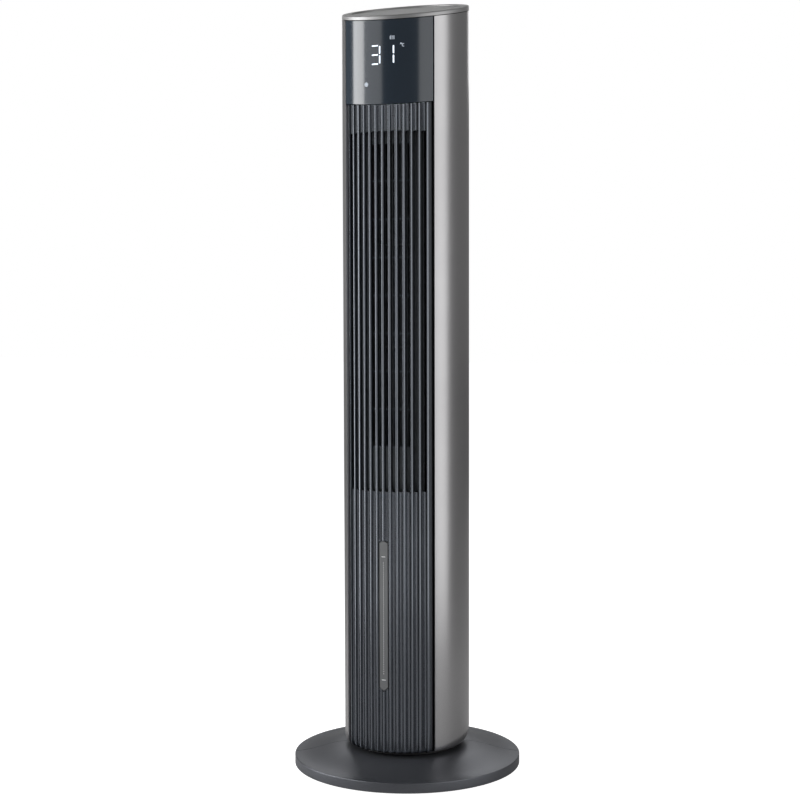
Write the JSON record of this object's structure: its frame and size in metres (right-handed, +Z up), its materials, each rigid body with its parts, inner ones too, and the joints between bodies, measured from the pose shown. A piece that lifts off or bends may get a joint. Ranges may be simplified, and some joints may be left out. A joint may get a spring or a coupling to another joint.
{
  "type": "tower fan",
  "caption": "Slim round tower fan with water cooling: fluted front outlet, display window, slanted cap, round foot, rear intake cover and pull-out water tank.",
  "frame": {"origin": "on the floor under the centre of the round foot", "axes": "+Z up, the air outlet faces -Y, +X to the right seen from the front"},
  "size_m": [0.3, 0.3, 1.0157],
  "materials": {
    "panel_gunmetal": "ABS with a satin metallic lacquer, warm grey",
    "cap_grey": "ABS with a satin metallic lacquer",
    "base_grey": "satin dark metallic plastic, fine grain",
    "dark_plastic": "satin dark grey moulded plastic",
    "black_plastic": "matt black moulded plastic",
    "white_plastic": "natural white acetal and ABS",
    "display_black": "gloss blue-black acrylic window",
    "clear_plastic": "smoked clear plastic",
    "steel": "bare and zinc-plated steel",
    "bronze": "sintered bronze",
    "rubber": "matt black rubber",
    "circuit_board": "green solder mask",
    "pad_paper": "brown corrugated cellulose pad",
    "filter_mesh": "fine black nylon mesh",
    "tank_plastic": "translucent smoke-blue plastic"
  },
  "bodies": {
    "base": {"base_front_half": "base_grey", "base_rear_half": "base_grey", "foot_1": "rubber", "foot_2": "rubber", "foot_3": "rubber", "foot_4": "rubber", "base_screw_1": "steel", "base_screw_2": "steel", "base_screw_3": "steel", "base_screw_4": "steel", "swivel_hub": "black_plastic", "swivel_washer": "white_plastic", "sector_gear": "white_plastic", "hub_nut": "black_plastic"},
    "tower": {"bottom_pan": "black_plastic", "bay_deck": "black_plastic", "deck_plate": "black_plastic", "motor_plate": "black_plastic", "bearing_plate": "black_plastic", "frame_rail_right": "black_plastic", "frame_rail_left": "black_plastic", "swing_motor": "steel", "fan_motor": "steel", "top_bearing": "bronze", "scroll_housing": "dark_plastic", "air_tongue": "dark_plastic", "outlet_frame": "dark_plastic", "outlet_guard": "dark_plastic", "front_panel": "dark_plastic", "window_lens": "clear_plastic", "display_lens": "display_black", "display_board": "circuit_board", "digit_light_guide": "white_plastic", "control_board": "circuit_board", "top_cap": "cap_grey", "side_panel_right": "panel_gunmetal", "side_panel_left": "panel_gunmetal", "rear_cover": "dark_plastic", "upper_back": "dark_plastic", "handle_cup": "black_plastic", "rear_skirt": "dark_plastic", "cord_gland": "rubber", "rear_screw_1": "steel", "rear_screw_2": "steel", "rear_screw_3": "steel", "rear_screw_4": "steel", "sump_tray": "white_plastic", "water_pump": "black_plastic", "water_hose": "clear_plastic", "pad_frame": "black_plastic", "cooling_pad": "pad_paper", "drip_tray": "white_plastic"},
    "pinion": {"swing_pinion": "white_plastic"},
    "rotor": {"impeller": "black_plastic", "impeller_shaft": "steel"},
    "intake_cover": {"intake_grille": "dark_plastic", "dust_filter": "filter_mesh"},
    "tank": {"tank_body": "tank_plastic", "tank_door": "dark_plastic", "tank_grip": "black_plastic"}
  },
  "joints": [
    {"name": "swing", "type": "hinge", "parent": "base", "child": "tower", "pos_m": [0, 0, 0.0315], "axis": [0, 0, 1], "range_deg": [-18.5, 61.5]},
    {"name": "pinion_spin", "type": "hinge", "parent": "tower", "child": "pinion", "pos_m": [-0.0555, 0, 0.041], "axis": [0, 0, 1], "range_deg": [-80, 265]},
    {"name": "fan_spin", "type": "hinge", "parent": "tower", "child": "rotor", "pos_m": [0, -0.004, 0.62], "axis": [0, 0, 1], "continuous": true},
    {"name": "intake_pull", "type": "slide", "parent": "tower", "child": "intake_cover", "axis": [0, 1, 0], "range_m": [0, 0.06]},
    {"name": "tank_slide", "type": "slide", "parent": "tower", "child": "tank", "axis": [0, 1, 0], "range_m": [0, 0.16]}
  ],
  "couplings": [
    {"joint": "pinion_spin", "follows": "swing", "ratio": 4.2857}
  ]
}
